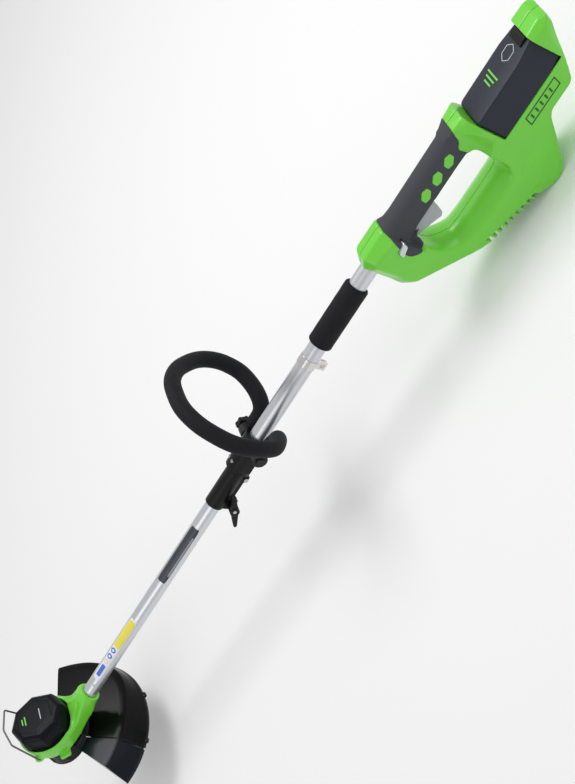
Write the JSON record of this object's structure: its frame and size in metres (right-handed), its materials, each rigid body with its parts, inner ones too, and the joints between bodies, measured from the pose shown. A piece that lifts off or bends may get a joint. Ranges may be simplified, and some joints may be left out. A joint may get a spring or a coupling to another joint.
{
  "type": "string trimmer",
  "caption": "Battery string trimmer with D-handle housing, telescoping shaft, loop handle, angled motor head, spool and guard.",
  "frame": {"origin": "centre of the base rectangle of the whole trimmer as it lies with its shaft level", "axes": "+X along the shaft from the cutting head to the rear handle, +Z towards the top of the tool"},
  "size_m": [1.5264, 0.2964, 0.3468],
  "materials": {
    "green_shell": "moulded lime-green plastic, semi-gloss",
    "charcoal_shell": "textured charcoal plastic",
    "grip_rubber": "soft-touch overmoulded rubber",
    "black_plastic": "moulded black plastic, satin",
    "guard_plastic": "glossy black plastic",
    "foam": "closed-cell foam grip",
    "pale_plastic": "light grey plastic",
    "tube_aluminium": "satin anodised aluminium",
    "strap_metal": "bright plated steel",
    "steel": "zinc-plated steel",
    "magnet": "dark ferrite",
    "copper": "copper windings and contacts",
    "cell_wrap": "heat-shrink sleeve",
    "circuit": "printed circuit board",
    "cable": "cable sheath",
    "trimmer_line": "nylon trimmer line"
  },
  "bodies": {
    "rear_unit": {"housing_left": "green_shell", "housing_right": "green_shell", "housing_screws": "steel", "grip_overmould": "grip_rubber", "hex_inlays": "green_shell", "vent_filter": "black_plastic", "trigger_switch": "black_plastic", "controller_board": "circuit", "battery_terminals": "copper", "wiring_lead": "cable", "trigger_pin": "steel", "trigger_spring": "steel", "upper_tube": "tube_aluminium", "foam_sleeve": "foam", "strap_ring": "strap_metal", "coupler": "black_plastic", "coupler_bolt": "steel", "coupler_pinch_screw": "steel"},
    "trigger": {"trigger": "pale_plastic"},
    "lock_button": {"lock_button": "pale_plastic"},
    "battery": {"battery_case": "charcoal_shell", "battery_cells": "cell_wrap", "latch_spring": "steel"},
    "battery_latch": {"battery_latch": "black_plastic"},
    "wing_knob": {"wing_knob": "black_plastic"},
    "loop_clamp": {"loop_clamp_top": "black_plastic", "loop_clamp_base": "black_plastic", "clamp_screws": "steel", "loop_bolt": "steel"},
    "loop_handle": {"loop_tube": "tube_aluminium", "loop_foam": "foam"},
    "loop_knob": {"loop_knob": "black_plastic"},
    "lower_unit": {"lower_tube": "tube_aluminium", "head_bracket": "green_shell", "bracket_rivets": "steel", "motor_cover": "charcoal_shell", "cover_screws": "steel", "motor_can": "steel", "motor_magnets": "magnet", "motor_bearings": "steel", "motor_lead": "cable", "guard": "guard_plastic", "guard_extension": "guard_plastic", "guard_screws": "steel", "line_cutter": "steel"},
    "line_head": {"rotor": "copper", "motor_shaft": "steel", "spool_housing": "guard_plastic", "spool_cap": "guard_plastic", "line_eyelet": "strap_metal", "line_tail": "trimmer_line"},
    "spool": {"spool": "pale_plastic", "spool_line": "trimmer_line"},
    "guide_wire": {"guide_wire": "steel"}
  },
  "joints": [
    {"name": "trigger_pull", "type": "hinge", "parent": "rear_unit", "child": "trigger", "pos_m": [0.40562, -0.00872, 0.156], "axis": [0, -1, 0], "range_deg": [0, 12], "stiffness_Nm_per_rad": 0.6, "springref_deg": -8.59, "deforming": ["trigger_spring"]},
    {"name": "lock_off_press", "type": "slide", "parent": "rear_unit", "child": "lock_button", "axis": [0, 1, 0], "range_m": [0, 0.004], "stiffness_N_per_m": 300, "springref_m": -0.003},
    {"name": "battery_slide", "type": "slide", "parent": "rear_unit", "child": "battery", "axis": [0, 0, 1], "range_m": [0, 0.1]},
    {"name": "latch_press", "type": "slide", "parent": "battery", "child": "battery_latch", "axis": [0, 0, -1], "range_m": [0, 0.004], "stiffness_N_per_m": 400, "springref_m": -0.003, "deforming": ["latch_spring"]},
    {"name": "wing_knob_turn", "type": "hinge", "parent": "rear_unit", "child": "wing_knob", "pos_m": [-0.12738, -0.00872, 0.14639], "axis": [0, -1, 0], "continuous": true},
    {"name": "shaft_extend", "type": "slide", "parent": "rear_unit", "child": "lower_unit", "axis": [-1, 0, 0], "range_m": [0, 0.12]},
    {"name": "loop_clamp_slide", "type": "slide", "parent": "rear_unit", "child": "loop_clamp", "axis": [1, 0, 0], "range_m": [0, 0.09]},
    {"name": "loop_tilt", "type": "hinge", "parent": "loop_clamp", "child": "loop_handle", "pos_m": [-0.01438, -0.00872, 0.168], "axis": [0, 1, 0], "range_deg": [-30, 30]},
    {"name": "loop_knob_turn", "type": "hinge", "parent": "loop_clamp", "child": "loop_knob", "pos_m": [-0.01438, -0.00872, 0.168], "axis": [0, 1, 0], "continuous": true},
    {"name": "head_spin", "type": "hinge", "parent": "lower_unit", "child": "line_head", "pos_m": [-0.73038, -0.00872, 0.148], "axis": [0.5736, 0, 0.8192], "continuous": true},
    {"name": "spool_feed", "type": "hinge", "parent": "line_head", "child": "spool", "pos_m": [-0.73038, -0.00872, 0.148], "axis": [0.5736, 0, 0.8192], "continuous": true},
    {"name": "guide_wire_fold", "type": "hinge", "parent": "lower_unit", "child": "guide_wire", "pos_m": [-0.72783, -0.00872, 0.21092], "axis": [0, -1, 0], "range_deg": [0, 100]}
  ]
}
